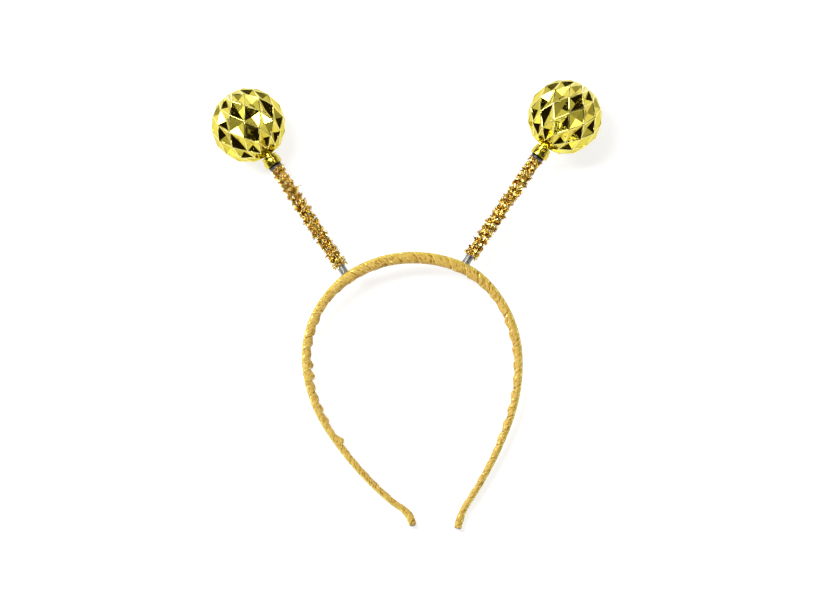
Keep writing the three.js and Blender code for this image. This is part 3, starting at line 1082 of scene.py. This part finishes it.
class BopperStep(bpy.types.Operator):
    """A step that makes pieces from the scene's settings."""

    bl_options = {"REGISTER", "UNDO"}

    def antennas(self, settings):
        return [Antenna(side, settling(settings.band)) for side in SIDES]


class BOPPER_OT_stage(BopperStep):
    """Lay the floor, hang the lights and place the camera"""

    bl_idname = "bopper.stage"
    bl_label = "Stage"

    def execute(self, context):
        settings = context.scene.bopper
        pale_floor(settings.stage)
        soft_lights(settings)
        white_room()
        photo_camera(settings)
        return {"FINISHED"}


class BOPPER_OT_core(BopperStep):
    """Mould the plastic strip inside the ribbon"""

    bl_idname = "bopper.core"
    bl_label = "Core strip"

    def execute(self, context):
        core_strip(context.scene.bopper)
        return {"FINISHED"}


class BOPPER_OT_ribbon(BopperStep):
    """Wind the glitter ribbon along the band"""

    bl_idname = "bopper.ribbon"
    bl_label = "Ribbon"

    def execute(self, context):
        wound_ribbon(context.scene.bopper)
        return {"FINISHED"}


class BOPPER_OT_springs(BopperStep):
    """Coil the two springs"""

    bl_idname = "bopper.springs"
    bl_label = "Springs"

    def execute(self, context):
        settings = context.scene.bopper
        material = steel_finish("spring_steel", settings.spring.steel, settings.spring.grime)
        for antenna in self.antennas(settings):
            coil_spring(settings, antenna, material)
        return {"FINISHED"}


class BOPPER_OT_garlands(BopperStep):
    """Wind the foil garlands round the springs"""

    bl_idname = "bopper.garlands"
    bl_label = "Garlands"

    def execute(self, context):
        settings = context.scene.bopper
        material = foil_finish("garland_foil", settings.garland)
        for antenna in self.antennas(settings):
            foil_garland(settings, antenna, material)
        return {"FINISHED"}


class BOPPER_OT_collars(BopperStep):
    """Turn the two gold collars"""

    bl_idname = "bopper.collars"
    bl_label = "Collars"

    def execute(self, context):
        settings = context.scene.bopper
        material = gold_finish("collar_gold", settings.collar.gold, settings.ball.worn, roughness=0.17)
        for antenna in self.antennas(settings):
            gold_collar(settings, antenna, material)
        return {"FINISHED"}


class BOPPER_OT_balls(BopperStep):
    """Cut the facets of the two mirrored balls"""

    bl_idname = "bopper.balls"
    bl_label = "Balls"

    def execute(self, context):
        settings = context.scene.bopper
        material = gold_finish("ball_gold", settings.ball.gold, settings.ball.worn, roughness=0.04)
        for antenna in self.antennas(settings):
            faceted_ball(settings, antenna, material)
        return {"FINISHED"}


class BOPPER_PT_sidebar(bpy.types.Panel):
    """The bopper's steps and settings."""

    bl_label = "Head bopper"
    bl_idname = "BOPPER_PT_sidebar"
    bl_space_type = "VIEW_3D"
    bl_region_type = "UI"
    bl_category = "Bopper"

    def draw(self, context):
        settings = context.scene.bopper
        for step, group in STEPS:
            box = self.layout.box()
            box.operator(step.bl_idname)
            values = getattr(settings, group)
            for name in values.bl_rna.properties.keys():
                if name not in ("rna_type", "name"):
                    box.prop(values, name)


STEPS = (
    (BOPPER_OT_stage, "stage"),
    (BOPPER_OT_core, "band"),
    (BOPPER_OT_ribbon, "ribbon"),
    (BOPPER_OT_springs, "spring"),
    (BOPPER_OT_garlands, "garland"),
    (BOPPER_OT_collars, "collar"),
    (BOPPER_OT_balls, "ball"),
)
CLASSES = (
    BopperBand, BopperRibbon, BopperSpring, BopperGarland, BopperCollar, BopperBall, BopperStage,
    BopperSettings, *(step for step, _ in STEPS), BOPPER_PT_sidebar,
)


def register():
    for group in CLASSES:
        bpy.utils.register_class(group)
    bpy.types.Scene.bopper = PointerProperty(type=BopperSettings)


def unregister():
    del bpy.types.Scene.bopper
    for group in reversed(CLASSES):
        bpy.utils.unregister_class(group)


def main():
    register()
    bpy.ops.bopper.stage()
    bpy.ops.bopper.core()
    bpy.ops.bopper.ribbon()
    bpy.ops.bopper.springs()
    bpy.ops.bopper.garlands()
    bpy.ops.bopper.collars()
    bpy.ops.bopper.balls()


if __name__ == "__main__":
    main()
